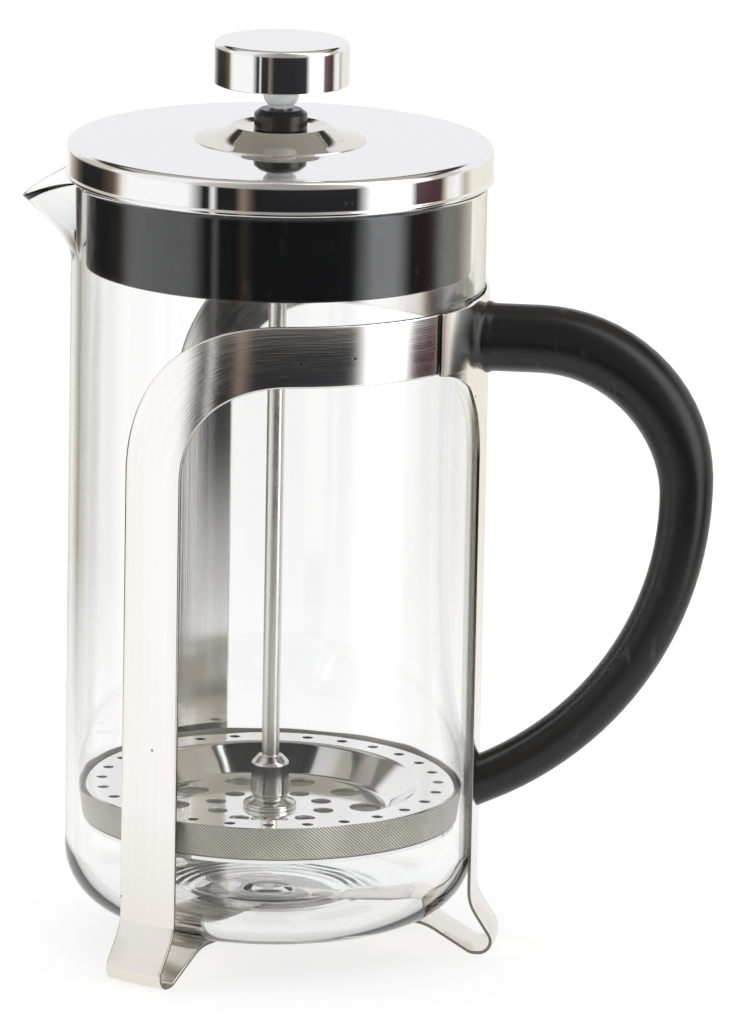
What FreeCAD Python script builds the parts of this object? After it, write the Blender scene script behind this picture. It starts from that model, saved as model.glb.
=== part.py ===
import FreeCAD, Part
import math
import os

# A glass french press: a beaker standing in a three-legged steel strap frame with a plastic handle,
# and a lid that carries a plunger with a woven filter.
# Millimetres, +Z up. +X points at the handle, and the beaker's spout points the other way. Every piece is
# drawn about the beaker's axis, then moved so that the origin is in the middle of the footprint, level
# with the feet.

# Distance from the beaker's axis to the middle of the overall length, from spout to handle
FOOTPRINT_CENTRE = 21.2

# Beaker
GLASS_RADIUS = 48.7
GLASS_WALL = 2.4
GLASS_BASE_Z = 8.2
GLASS_RIM_Z = 184.9
GLASS_CORNER = 15.0
GLASS_FLOOR = 3.4
SPOUT_REACH = 61.2
SPOUT_TIP_Z = 178.4
SPOUT_ROOT_Z = 163.5
SPOUT_HALF_WIDTH = 17.5

# Strap frame
STRAP = 0.8
STRAP_WIDTH = 15.5
STRAP_INNER = 49.0
STRAP_OUTER = STRAP_INNER + STRAP
BAND_TOP_Z = 159.6
BAND_BOTTOM_Z = 145.2
LEG_AZIMUTH = 118.5
ARM_END_AZIMUTH = 22.5
WING_START_AZIMUTH = 20.0
WING_END_AZIMUTH = 34.5
WELD_GAP = 0.01
FLARE_ANGLE = 31.5
FLARE_RADIUS = 10.4
FLARE_Z = 12.57
FOOT_RADIUS = 2.9
FOOT_CENTRE = 51.9
FOOT_FLAT = 1.0
RETURN_ANGLE = 32.0
RETURN_Z = 7.5
RETURN_END = 5.5
BASE_PLATE_RADIUS = 19.0
RIVET_PITCH_RADIUS = 13.0

# Handle
HANDLE_TOP_Z = 148.6
HANDLE_STRAIGHT_END = 62.0
UPPER_BEND = 35.3
LOWER_BEND = 78.7
GRIP_THIN = 11.4
GRIP_THICK = 16.0
LOWER_SCREW_Z = 43.2
SCREW_RADIUS = 1.45

# Lid
LID_RADIUS = 50.0
LID_TOP_Z = 193.4
LID_SKIRT_Z = 185.2
LID_SHEET = 0.6
SLEEVE_RADIUS = 45.2
SLEEVE_BOTTOM_Z = 164.3
CONE_BASE_RADIUS = 20.2
CONE_TOP_RADIUS = 11.3
CONE_TOP_Z = 197.3
BUSH_RADIUS = 6.25
BUSH_SHANK = 5.0
BUSH_SEAT_Z = 196.3
BUSH_TOP_Z = 201.1

# Plunger
ROD_RADIUS = 2.1
RUNNING_CLEARANCE = 0.05
ROD_BOTTOM_Z = 29.6
ROD_TOP_Z = 213.6
KNOB_RADIUS = 15.9
KNOB_BOTTOM_Z = 207.2
KNOB_TOP_Z = 217.3
KNOB_SHEET = 0.6
BOSS_BOTTOM_Z = 201.4

# Filter
PLATE_RADIUS = 44.2
PLATE_SHEET = 0.6
PLATE_RIM_Z = 38.8
PLATE_FLOOR_Z = 32.3
RECESS_RADIUS = 35.5
RECESS_FLOOR_RADIUS = 28.4
SPIGOT_RADIUS = 3.0
MESH_TOP_RADIUS = 45.7
MESH_TOP_Z = 39.3
MESH_BOTTOM_Z = 31.3
MESH_SHEET = 0.3
CROSS_TOP_Z = 31.25
CROSS_BOTTOM_Z = 30.4
CROSS_ARMS = 6
CROSS_ARM_ANGLE = 16.0

AXIS = FreeCAD.Vector(0, 0, 1)
ORIGIN = FreeCAD.Vector(0, 0, 0)


def point(u, v):
    """A point of a profile, with u along X and v along Z."""
    return FreeCAD.Vector(u, 0, v)


def rounded_face(corners):
    """A face in the XZ plane from its corners, each (u, v) or (u, v, radius)."""
    marks = []
    count = len(corners)
    for index, corner in enumerate(corners):
        here = point(corner[0], corner[1])
        radius = corner[2] if len(corner) > 2 else 0.0
        if radius <= 0.0:
            marks.append((here, None, here))
            continue
        before = corners[index - 1]
        after = corners[(index + 1) % count]
        back = (point(before[0], before[1]) - here).normalize()
        ahead = (point(after[0], after[1]) - here).normalize()
        half_angle = back.getAngle(ahead) / 2.0
        reach = radius / math.tan(half_angle)
        bisector = (back + ahead).normalize()
        middle = here + bisector * (radius / math.sin(half_angle) - radius)
        marks.append((here + back * reach, middle, here + ahead * reach))
    edges = []
    for index, (start, middle, end) in enumerate(marks):
        if middle is not None:
            edges.append(Part.Arc(start, middle, end).toShape())
        following = marks[(index + 1) % count][0]
        if end.distanceToPoint(following) > 1e-6:
            edges.append(Part.LineSegment(end, following).toShape())
    return Part.Face(Part.Wire(edges))


def turned(corners):
    """A solid turned about the Z axis from a rounded profile."""
    return rounded_face(corners).revolve(ORIGIN, AXIS, 360)


def strip_profile(path, thickness):
    """The closed outline of a bent strip, from its open centre line of (u, v) or (u, v, radius)."""
    half = thickness / 2.0
    left = []
    right = []
    last = len(path) - 1
    for index, corner in enumerate(path):
        here = point(corner[0], corner[1])
        radius = corner[2] if len(corner) > 2 else 0.0
        before = path[max(index - 1, 0)]
        after = path[min(index + 1, last)]
        inward = here - point(before[0], before[1]) if index > 0 else point(after[0], after[1]) - here
        outward = point(after[0], after[1]) - here if index < last else inward
        inward = FreeCAD.Vector(inward).normalize()
        outward = FreeCAD.Vector(outward).normalize()
        normal_in = point(-inward.z, inward.x)
        normal_out = point(-outward.z, outward.x)
        mitre = (normal_in + normal_out) * (half / (1.0 + normal_in.dot(normal_out)))
        turn = inward.x * outward.z - inward.z * outward.x
        change = half if turn < 0 else -half
        left_radius = radius + change if radius else 0.0
        right_radius = radius - change if radius else 0.0
        left.append((here.x + mitre.x, here.z + mitre.z, left_radius))
        right.append((here.x - mitre.x, here.z - mitre.z, right_radius))
    return left + right[::-1]


def at_azimuth(shape, degrees):
    """A copy of a shape, turned about the Z axis."""
    copy = shape.copy()
    copy.rotate(ORIGIN, AXIS, degrees)
    return copy


def cylinder(radius, bottom, top):
    """A solid cylinder on the Z axis."""
    return Part.makeCylinder(radius, top - bottom, FreeCAD.Vector(0, 0, bottom))


def ring(inner, outer, bottom, top):
    """A plain ring on the Z axis."""
    return cylinder(outer, bottom, top).cut(cylinder(inner, bottom - 1, top + 1))


def sector(radius, bottom, top, start, end):
    """A wedge of a cylinder between two azimuths."""
    wedge = Part.makeCylinder(radius, top - bottom, FreeCAD.Vector(0, 0, bottom), AXIS, end - start)
    return at_azimuth(wedge, start)


def outward_prism(corners, depth):
    """A profile drawn in the YZ plane and pushed out along +X, from where the foot strips end."""
    face = rounded_face(corners)
    face.rotate(ORIGIN, AXIS, 90)
    face.translate(FreeCAD.Vector(RETURN_END, 0, 0))
    return face.extrude(FreeCAD.Vector(depth, 0, 0))


def leg_shell():
    """The turned skin that every leg, foot and band of the frame is cut from."""
    centre = STRAP_INNER + STRAP / 2.0
    middle = STRAP / 2.0
    flare = math.radians(FLARE_ANGLE)
    back = math.radians(RETURN_ANGLE)
    foot_z = FOOT_RADIUS + middle
    tangent_u = FOOT_CENTRE + FOOT_RADIUS * math.cos(flare)
    tangent_z = foot_z + FOOT_RADIUS * math.sin(flare)
    toe_u = tangent_u + (tangent_z - middle) * math.tan(flare)
    heel_u = FOOT_CENTRE - FOOT_FLAT - FOOT_RADIUS * math.tan(back / 2.0)
    return_u = heel_u - (RETURN_Z - middle) / math.tan(back)
    path = [
        (centre, BAND_TOP_Z),
        (centre, FLARE_Z, FLARE_RADIUS),
        (toe_u, middle, FOOT_RADIUS),
        (heel_u, middle, FOOT_RADIUS),
        (return_u, RETURN_Z, FLARE_RADIUS),
        (RETURN_END - 1.5, RETURN_Z),
    ]
    return turned(strip_profile(path, STRAP))


def rivet_hole():
    """The hole through a foot strip for its rivet, on the +X side."""
    hole = cylinder(1.62, RETURN_Z - 2, RETURN_Z + 2)
    hole.translate(FreeCAD.Vector(RIVET_PITCH_RADIUS, 0, 0))
    return hole


def frame_arm(shell):
    """One arm of the band with its leg and foot, the leg at azimuth zero and the arm running to +Y."""
    half = STRAP_WIDTH / 2.0
    reach = 38.0
    outline = [
        (-half, -1),
        (half, -1),
        (half, BAND_BOTTOM_Z, 23.6),
        (reach, BAND_BOTTOM_Z),
        (reach, BAND_TOP_Z),
        (-half, BAND_TOP_Z, 38.0),
    ]
    leg = shell.common(outward_prism(outline, 70))
    start = math.degrees(math.asin(reach / STRAP_OUTER)) - 1.5
    band = ring(STRAP_INNER, STRAP_OUTER, BAND_BOTTOM_Z, BAND_TOP_Z)
    band = band.common(sector(60, BAND_BOTTOM_Z, BAND_TOP_Z, start, LEG_AZIMUTH - ARM_END_AZIMUTH))
    return leg.fuse(band).removeSplitter().cut(rivet_hole())


def frame_arms():
    """The two arms: the front one has its leg on the -Y side."""
    arm = frame_arm(leg_shell())
    front = at_azimuth(arm, -LEG_AZIMUTH)
    back = front.mirror(ORIGIN, FreeCAD.Vector(0, 1, 0))
    return {"frame_arm_front": front, "frame_arm_back": back}


def screw_heights():
    """The heights of the two handle screws."""
    return (HANDLE_TOP_Z, LOWER_SCREW_Z)


def cone_along_x(start_radius, end_radius, start_x, end_x, height):
    """A cone frustum whose axis runs along X."""
    base = FreeCAD.Vector(start_x, 0, height)
    return Part.makeCone(start_radius, end_radius, end_x - start_x, base, FreeCAD.Vector(1, 0, 0))


def cylinder_along_x(radius, start_x, end_x, height):
    """A cylinder whose axis runs along X."""
    base = FreeCAD.Vector(start_x, 0, height)
    return Part.makeCylinder(radius, end_x - start_x, base, FreeCAD.Vector(1, 0, 0))


def handle_strut():
    """The strut below the handle: its foot, its tall leg and the two wings over the band's ends."""
    half = STRAP_WIDTH / 2.0
    outline = [
        (-half, -1),
        (half, -1),
        (half, BAND_BOTTOM_Z, 24.0),
        (40, BAND_BOTTOM_Z),
        (40, BAND_TOP_Z),
        (-40, BAND_TOP_Z),
        (-40, BAND_BOTTOM_Z),
        (-half, BAND_BOTTOM_Z, 24.0),
    ]
    plan = outward_prism(outline, 70)
    floor = -2
    inner_plan = plan.common(sector(80, floor, 170, -WING_START_AZIMUTH, WING_START_AZIMUTH))
    outer_plan = plan.common(sector(80, floor, 170, -WING_END_AZIMUTH, WING_END_AZIMUTH))
    wing_gap = sector(80, floor, 170, 1 - WING_START_AZIMUTH, WING_START_AZIMUTH - 1)
    outer_plan = outer_plan.cut(wing_gap)
    body = leg_shell().common(inner_plan)
    wing_inner = STRAP_OUTER + WELD_GAP
    wings = ring(wing_inner, wing_inner + STRAP, 100, BAND_TOP_Z).common(outer_plan)
    step_plan = outer_plan.common(inner_plan)
    step = ring(STRAP_INNER, wing_inner + STRAP, 100, BAND_TOP_Z).common(step_plan)
    strut = body.fuse([wings, step]).removeSplitter()
    for height in screw_heights():
        strut = strut.fuse(cone_along_x(3.7, 2.5, STRAP_INNER + 0.5, STRAP_INNER + 1.7, height))
        strut = strut.cut(cone_along_x(3.05, 1.3, STRAP_INNER - 0.15, STRAP_INNER + 1.6, height))
        strut = strut.cut(cylinder_along_x(SCREW_RADIUS + 0.15, STRAP_INNER - 1, STRAP_INNER + 3, height))
    return strut.cut(rivet_hole())


def base_plate():
    """The round plate under the beaker that joins the three foot strips."""
    top = RETURN_Z - STRAP / 2.0 - WELD_GAP
    plate = cylinder(BASE_PLATE_RADIUS, top - STRAP, top)
    for azimuth in (0, LEG_AZIMUTH, -LEG_AZIMUTH):
        plate = plate.cut(at_azimuth(rivet_hole(), azimuth))
    return plate


def base_rivets():
    """Three round-headed rivets through the base plate and the foot strips."""
    top = RETURN_Z + STRAP / 2.0 + WELD_GAP
    bottom = RETURN_Z - 1.5 * STRAP - 2 * WELD_GAP
    outline = [
        (0, bottom - 0.6),
        (2.7, bottom - 0.6, 0.5),
        (2.7, bottom),
        (1.6, bottom),
        (1.6, top),
        (2.7, top),
        (2.7, top + 0.6, 0.5),
        (0, top + 0.6),
    ]
    rivet = turned(outline)
    rivet.translate(FreeCAD.Vector(RIVET_PITCH_RADIUS, 0, 0))
    return Part.makeCompound([at_azimuth(rivet, azimuth) for azimuth in (0, LEG_AZIMUTH, -LEG_AZIMUTH)])


def grip_diameter(turn):
    """The handle's thickness after it has turned through an angle in degrees, thick first."""
    return GRIP_THIN + (GRIP_THICK - GRIP_THIN) / (1.0 + math.exp((turn - 74.0) / 15.0))


def handle_sections():
    """The round sections of the handle, from its top end to its bottom end."""
    centre_z = HANDLE_TOP_Z - UPPER_BEND
    far_u = HANDLE_STRAIGHT_END + UPPER_BEND
    stations = [(44.0, HANDLE_TOP_Z, 0.0), (53.0, HANDLE_TOP_Z, 0.0)]
    for turn in range(0, 90, 15):
        angle = math.radians(90 - turn)
        u = HANDLE_STRAIGHT_END + UPPER_BEND * math.cos(angle)
        stations.append((u, centre_z + UPPER_BEND * math.sin(angle), turn))
    for turn in range(90, 166, 9):
        angle = math.radians(90 - turn)
        u = far_u - LOWER_BEND + LOWER_BEND * math.cos(angle)
        stations.append((u, centre_z + LOWER_BEND * math.sin(angle), turn))
    sections = []
    for u, v, turn in stations:
        slope = math.radians(-turn)
        heading = point(math.cos(slope), math.sin(slope))
        sections.append(Part.Wire(Part.makeCircle(grip_diameter(turn) / 2.0, point(u, v), heading)))
    return sections


def handle():
    """The round plastic grip, with its ends hollowed to sit on the strut and take its two screws."""
    grip = Part.makeLoft(handle_sections(), True, False)
    grip = grip.cut(cylinder(STRAP_OUTER + 0.02, -10, 220))
    for height in screw_heights():
        grip = grip.cut(cone_along_x(3.8, 2.6, STRAP_INNER + 0.45, STRAP_INNER + 1.75, height))
        grip = grip.cut(cylinder_along_x(SCREW_RADIUS + 0.02, STRAP_INNER, STRAP_INNER + 10.4, height))
    return grip


def handle_screws():
    """The two countersunk screws that hold the handle from inside the strut."""
    screws = []
    for height in screw_heights():
        head = cone_along_x(2.8, SCREW_RADIUS, STRAP_INNER + 0.05, STRAP_INNER + 1.4, height)
        shank = cylinder_along_x(SCREW_RADIUS, STRAP_INNER + 0.3, STRAP_INNER + 10.2, height)
        screw = head.fuse(shank)
        for turn in (0, 90):
            slot = Part.makeBox(0.7, 0.5, 3.2, FreeCAD.Vector(STRAP_INNER, -0.25, height - 1.6))
            slot.rotate(FreeCAD.Vector(STRAP_INNER, 0, height), FreeCAD.Vector(1, 0, 0), turn)
            screw = screw.cut(slot)
        screws.append(screw)
    return Part.makeCompound(screws)


def spout_wedge(inset):
    """The spout's beak as a four-sided wedge, shrunk by an inset for its hollow."""
    tip = FreeCAD.Vector(-SPOUT_REACH + 1.5 * inset, 0, SPOUT_TIP_Z)
    root = FreeCAD.Vector(-GLASS_RADIUS + 2.5 + inset, 0, SPOUT_ROOT_Z + 1.2 * inset)
    half = SPOUT_HALF_WIDTH - 0.9 * inset
    left = FreeCAD.Vector(-44.5 + inset, half, GLASS_RIM_Z)
    right = FreeCAD.Vector(-44.5 + inset, -half, GLASS_RIM_Z)
    sides = [(tip, left, root), (tip, root, right), (tip, right, left), (left, right, root)]
    faces = [Part.Face(Part.makePolygon([a, b, c, a])) for a, b, c in sides]
    wedge = Part.Solid(Part.Shell(faces))
    if wedge.Volume < 0:
        wedge.reverse()
    lid_face = faces[2]
    return wedge, lid_face


def beaker():
    """The glass beaker with its raised floor, rounded rim and pouring spout."""
    inner_radius = GLASS_RADIUS - GLASS_WALL
    outside = [
        (0, GLASS_BASE_Z + 1.6),
        (24, GLASS_BASE_Z + 1.6, 4),
        (28, GLASS_BASE_Z, 4),
        (GLASS_RADIUS, GLASS_BASE_Z, GLASS_CORNER),
        (GLASS_RADIUS, GLASS_RIM_Z, 1.1),
        (0, GLASS_RIM_Z),
    ]
    inside = [
        (0, GLASS_BASE_Z + GLASS_FLOOR + 1.4),
        (20, GLASS_BASE_Z + GLASS_FLOOR + 1.4, 8),
        (27, GLASS_BASE_Z + GLASS_FLOOR, 8),
        (inner_radius, GLASS_BASE_Z + GLASS_FLOOR, GLASS_CORNER - GLASS_WALL),
        (inner_radius, GLASS_RIM_Z + 5),
        (0, GLASS_RIM_Z + 5),
    ]
    outer_beak = spout_wedge(0.0)[0]
    inner_beak, mouth = spout_wedge(GLASS_WALL)
    pour_gap = mouth.extrude(FreeCAD.Vector(0, 0, 12))
    return turned(outside).fuse(outer_beak).cut(turned(inside)).cut(inner_beak).cut(pour_gap)


def lid_shell():
    """The drawn steel lid, with a rolled edge below its skirt."""
    inner = LID_RADIUS - LID_SHEET
    roll = LID_SKIRT_Z + 0.8
    outline = [
        (BUSH_SHANK + 0.05, LID_TOP_Z),
        (LID_RADIUS, LID_TOP_Z, 1.8),
        (LID_RADIUS, roll + 0.2),
        (LID_RADIUS + 0.25, roll, 0.15),
        (LID_RADIUS + 0.25, LID_SKIRT_Z, 0.35),
        (inner - 0.5, LID_SKIRT_Z, 0.35),
        (inner - 0.5, roll, 0.15),
        (inner, roll + 0.2),
        (inner, LID_TOP_Z - LID_SHEET, 1.2),
        (BUSH_SHANK + 0.05, LID_TOP_Z - LID_SHEET),
    ]
    return turned(outline)


def lid_cone():
    """The low steel cone on the lid, dished on top around the bush."""
    foot = LID_TOP_Z + WELD_GAP
    bore = BUSH_SHANK + 0.05
    outline = [
        (CONE_BASE_RADIUS, foot),
        (CONE_BASE_RADIUS, foot + 0.15),
        (14.6, foot + 1.5, 14),
        (CONE_TOP_RADIUS, CONE_TOP_Z, 0.6),
        (bore, BUSH_SEAT_Z),
        (bore, BUSH_SEAT_Z - LID_SHEET),
        (CONE_TOP_RADIUS - 0.5, CONE_TOP_Z - LID_SHEET - 0.1),
        (14.0, foot + 0.9, 14),
        (17.5, foot),
    ]
    return turned(outline)


def lid_sleeve():
    """The black plastic plug that fills the lid and reaches down inside the beaker."""
    shell_inner = LID_RADIUS - LID_SHEET
    top = LID_TOP_Z - LID_SHEET - 0.05
    under = top - 2.1
    bore = BUSH_SHANK + 0.05
    wall = 2.0
    outline = [
        (bore, top),
        (shell_inner - 0.7, top, 1.0),
        (shell_inner - 0.7, LID_SKIRT_Z + 0.02),
        (SLEEVE_RADIUS + 1.4, LID_SKIRT_Z + 0.02),
        (SLEEVE_RADIUS + 1.4, under),
        (SLEEVE_RADIUS, under),
        (SLEEVE_RADIUS, SLEEVE_BOTTOM_Z, 0.5),
        (SLEEVE_RADIUS - wall, SLEEVE_BOTTOM_Z, 0.5),
        (SLEEVE_RADIUS - wall, under, 1.5),
        (bore, under),
    ]
    return turned(outline)


def sleeve_underside():
    """The height of the plug's underside, where the bush's washer sits."""
    return LID_TOP_Z - LID_SHEET - 0.05 - 2.1


def lid_bush():
    """The black collar that guides the rod through the lid."""
    bore = ROD_RADIUS + RUNNING_CLEARANCE
    outline = [
        (bore, BUSH_TOP_Z - 0.4),
        (bore + 0.4, BUSH_TOP_Z),
        (BUSH_RADIUS - 0.9, BUSH_TOP_Z, 0.3),
        (BUSH_RADIUS, BUSH_TOP_Z - 0.7, 0.5),
        (BUSH_RADIUS, BUSH_SEAT_Z + WELD_GAP + 0.2),
        (BUSH_SHANK, BUSH_SEAT_Z + WELD_GAP),
        (BUSH_SHANK, 184.0, 0.4),
        (bore, 184.0),
    ]
    return turned(outline)


def hex_prism(across_flats, bottom, top):
    """A hexagonal bar on the Z axis."""
    corner = across_flats / math.sqrt(3.0)
    corners = []
    for index in range(7):
        angle = math.radians(60 * index)
        corners.append(FreeCAD.Vector(corner * math.cos(angle), corner * math.sin(angle), bottom))
    return Part.Face(Part.makePolygon(corners)).extrude(FreeCAD.Vector(0, 0, top - bottom))


def bush_washer():
    """The washer between the plug and the bush's nut."""
    top = sleeve_underside() - WELD_GAP
    return ring(BUSH_SHANK + 0.04, 9.0, top - 0.8, top)


def bush_nut():
    """The nut that holds the bush in the lid."""
    top = sleeve_underside() - 2 * WELD_GAP - 0.8
    nut = hex_prism(15.0, top - 3.5, top).common(cylinder(8.3, top - 4, top + 1))
    return nut.cut(cylinder(BUSH_SHANK + 0.03, top - 5, top + 2))


def knob_shell():
    """The spun steel drum that covers the knob."""
    inner = KNOB_RADIUS - KNOB_SHEET
    outline = [
        (0, KNOB_TOP_Z),
        (KNOB_RADIUS, KNOB_TOP_Z, 1.3),
        (KNOB_RADIUS, KNOB_BOTTOM_Z, 0.25),
        (inner, KNOB_BOTTOM_Z),
        (inner, KNOB_TOP_Z - KNOB_SHEET, 0.7),
        (0, KNOB_TOP_Z - KNOB_SHEET),
    ]
    return turned(outline)


def knob_core():
    """The plastic core inside the knob, with a hexagonal pocket for its threaded insert."""
    radius = KNOB_RADIUS - KNOB_SHEET - 0.02
    bottom = KNOB_BOTTOM_Z + 0.4
    top = KNOB_TOP_Z - KNOB_SHEET - 0.02
    core = turned([(0, bottom), (radius, bottom), (radius, top, 0.75), (0, top)])
    pocket = hex_prism(7.06, bottom - 1, 214.5)
    return core.cut(pocket)


def knob_insert():
    """The brass insert that the rod's thread screws into."""
    insert = hex_prism(7.0, KNOB_BOTTOM_Z + 0.42, 214.4)
    return insert.cut(cylinder(ROD_RADIUS + RUNNING_CLEARANCE, KNOB_BOTTOM_Z - 1, ROD_TOP_Z + 0.3))


def knob_boss():
    """The pale cup below the knob that lands on the bush when the plunger is down."""
    bore = ROD_RADIUS + RUNNING_CLEARANCE
    top = KNOB_BOTTOM_Z + 0.38
    outline = [
        (bore, BOSS_BOTTOM_Z),
        (2.9, BOSS_BOTTOM_Z, 0.25),
        (3.0, BOSS_BOTTOM_Z + 0.7),
        (3.7, BOSS_BOTTOM_Z + 1.3, 0.7),
        (4.6, top - 1.4, 1.5),
        (4.6, top),
        (bore, top),
    ]
    return turned(outline)


def plunger_rod():
    """The plunger's rod."""
    return turned(
        [(0, ROD_BOTTOM_Z), (ROD_RADIUS, ROD_BOTTOM_Z, 0.4), (ROD_RADIUS, ROD_TOP_Z, 0.4), (0, ROD_TOP_Z)]
    )


def filter_hub():
    """The threaded hub at the foot of the rod, with a flange that presses on the filter plate."""
    bore = ROD_RADIUS + RUNNING_CLEARANCE
    seat = PLATE_FLOOR_Z + WELD_GAP
    outline = [
        (bore, 45.0),
        (3.0, 45.0, 0.4),
        (4.5, 43.2, 1.4),
        (4.5, 34.6, 1.0),
        (6.3, 33.6, 0.5),
        (6.3, seat),
        (SPIGOT_RADIUS, seat),
        (SPIGOT_RADIUS, 27.2, 0.3),
        (0, 27.2),
        (0, 29.0),
        (bore, 29.0),
    ]
    return turned(outline)


def ring_of_holes(count, pitch_radius, hole_radius, phase):
    """Upright drills, evenly spaced on a circle."""
    drills = []
    for index in range(count):
        drill = cylinder(hole_radius, PLATE_FLOOR_Z - 3, PLATE_RIM_Z + 3)
        drill.translate(FreeCAD.Vector(pitch_radius, 0, 0))
        drills.append(at_azimuth(drill, phase + 360.0 * index / count))
    return drills


def filter_plate():
    """The dished and pierced top plate of the filter."""
    bore = SPIGOT_RADIUS + 0.05
    centre = [
        (bore, PLATE_FLOOR_Z - PLATE_SHEET / 2.0),
        (RECESS_FLOOR_RADIUS, PLATE_FLOOR_Z - PLATE_SHEET / 2.0, 2.5),
        (RECESS_RADIUS, PLATE_RIM_Z - PLATE_SHEET / 2.0, 1.6),
        (PLATE_RADIUS - 0.3, PLATE_RIM_Z - PLATE_SHEET / 2.0, 0.7),
        (PLATE_RADIUS - 0.3, PLATE_RIM_Z - 1.6),
    ]
    plate = turned(strip_profile(centre, PLATE_SHEET))
    drills = ring_of_holes(28, 40.1, 1.3, 6.4)
    drills += ring_of_holes(10, 22.8, 3.8, 6.7)
    drills += ring_of_holes(10, 13.2, 2.4, 28.0)
    return plate.cut(drills)


def filter_mesh():
    """The woven mesh, drawn up around the edge of the plate like a shallow dish."""
    bore = SPIGOT_RADIUS + 0.05
    middle = MESH_BOTTOM_Z + MESH_SHEET / 2.0
    centre = [
        (bore, middle),
        (PLATE_RADIUS + 0.15, middle, 0.7),
        (MESH_TOP_RADIUS - MESH_SHEET / 2.0, MESH_TOP_Z),
    ]
    return turned(strip_profile(centre, MESH_SHEET))


def edge_coil():
    """The springy ring under the plate's rim that pushes the mesh out against the glass."""
    low = MESH_BOTTOM_Z + MESH_SHEET
    high = PLATE_RIM_Z - PLATE_SHEET
    radius = (high - low) / 2.0 - 0.02
    return Part.makeTorus(40.5, radius, FreeCAD.Vector(0, 0, (low + high) / 2.0))


def cross_plate():
    """The flat plate below the mesh, opened between its arms."""
    plate = cylinder(PLATE_RADIUS, CROSS_BOTTOM_Z, CROSS_TOP_Z)
    plate = plate.cut(cylinder(SPIGOT_RADIUS + 0.05, CROSS_BOTTOM_Z - 1, CROSS_TOP_Z + 1))
    pitch = 360.0 / CROSS_ARMS
    for index in range(CROSS_ARMS):
        window = ring(13.5, 34.5, CROSS_BOTTOM_Z - 1, CROSS_TOP_Z + 1)
        start = pitch * index + CROSS_ARM_ANGLE / 2.0
        end = start + pitch - CROSS_ARM_ANGLE
        plate = plate.cut(window.common(sector(50, CROSS_BOTTOM_Z - 1, CROSS_TOP_Z + 1, start, end)))
    return plate


def clamp_nut():
    """The nut that clamps the filter's plates together on the hub's spigot."""
    top = CROSS_BOTTOM_Z - WELD_GAP
    nut = hex_prism(11.0, top - 2.6, top)
    return nut.cut(cylinder(SPIGOT_RADIUS + 0.03, top - 4, top + 1))


def parts():
    """Every piece of the press, by name."""
    pieces = frame_arms()
    makers = [
        handle_strut, base_plate, base_rivets, handle, handle_screws, beaker,
        lid_shell, lid_cone, lid_sleeve, lid_bush, bush_washer, bush_nut,
        knob_shell, knob_core, knob_insert, knob_boss, plunger_rod,
        filter_hub, filter_plate, filter_mesh, edge_coil, cross_plate, clamp_nut,
    ]
    for maker in makers:
        pieces[maker.__name__] = maker()
    return pieces


def main():
    """Check each piece, move it to its place and write it to its own file."""
    os.makedirs("parts", exist_ok=True)
    for name, shape in parts().items():
        shape.translate(FreeCAD.Vector(-FOOTPRINT_CENTRE, 0, 0))
        solids = len(shape.Solids)
        print(f"{name:18s} solids {solids} valid {shape.isValid()} volume {shape.Volume:10.1f}")
        shape.exportStep(f"parts/{name}.step")


main()
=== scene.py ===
import logging
from dataclasses import dataclass
from enum import Enum
from math import acos, asin, atan2, ceil, copysign, cos, degrees, exp, hypot, pi, radians, sin, tan
from typing import Callable, NamedTuple, Sequence

import bpy
from mathutils import Matrix, Quaternion, Vector


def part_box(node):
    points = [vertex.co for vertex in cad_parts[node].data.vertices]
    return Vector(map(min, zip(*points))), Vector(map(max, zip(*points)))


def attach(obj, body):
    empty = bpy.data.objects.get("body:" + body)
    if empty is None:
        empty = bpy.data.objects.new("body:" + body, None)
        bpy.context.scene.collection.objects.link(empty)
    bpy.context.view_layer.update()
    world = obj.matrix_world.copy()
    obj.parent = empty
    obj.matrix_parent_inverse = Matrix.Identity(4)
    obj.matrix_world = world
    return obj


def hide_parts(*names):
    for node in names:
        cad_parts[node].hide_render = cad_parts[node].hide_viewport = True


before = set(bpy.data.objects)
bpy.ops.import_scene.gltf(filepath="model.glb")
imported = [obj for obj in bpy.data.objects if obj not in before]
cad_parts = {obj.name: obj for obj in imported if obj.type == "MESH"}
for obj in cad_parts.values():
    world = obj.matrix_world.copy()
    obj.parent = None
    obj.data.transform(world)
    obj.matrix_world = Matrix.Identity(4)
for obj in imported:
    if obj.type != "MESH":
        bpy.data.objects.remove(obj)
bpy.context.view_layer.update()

LOG = logging.getLogger("french_press")
MM = 0.001
TURN = 2.0 * pi
WELD = 2e-6
RUNNING_FIT = 0.05

Colour = tuple[float, float, float]
Corner = tuple[float, ...]
Spot = tuple[float, float, float]
Rib = tuple[Spot, Spot]
Move = Callable[[float, float, float], Vector]
Looks = dict[str, object]
Piece = bpy.types.Object
Material = bpy.types.Material
Socket = bpy.types.NodeSocket


# --- the frame's names and sizes


class Body(Enum):
    """The rigid bodies that the pieces ride on."""

    FRAME = "frame"
    BEAKER = "beaker"
    LID = "lid"
    PLUNGER = "plunger"
    KNOB = "knob"
    FILTER = "filter"


class Slot(Enum):
    """The record's finishes, by name."""

    FRAME_STEEL = "frame_steel"
    POLISHED_STEEL = "polished_steel"
    PLATE_STEEL = "plate_steel"
    ROD_STEEL = "rod_steel"
    MESH_STEEL = "mesh_steel"
    FASTENER_STEEL = "fastener_steel"
    HANDLE_PLASTIC = "handle_plastic"
    BLACK_PLASTIC = "black_plastic"
    PALE_PLASTIC = "pale_plastic"
    BEAKER_GLASS = "beaker_glass"


class Extent(NamedTuple):
    """A turned node's size in millimetres: its largest radius, and its lowest and highest heights."""

    radius: float
    bottom: float
    top: float


def extent(node: str) -> Extent:
    """A turned node's radius about the beaker's axis, and its heights."""
    low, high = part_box(node)
    return Extent((high.y - low.y) / 2.0 / MM, low.z / MM, high.z / MM)


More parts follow.
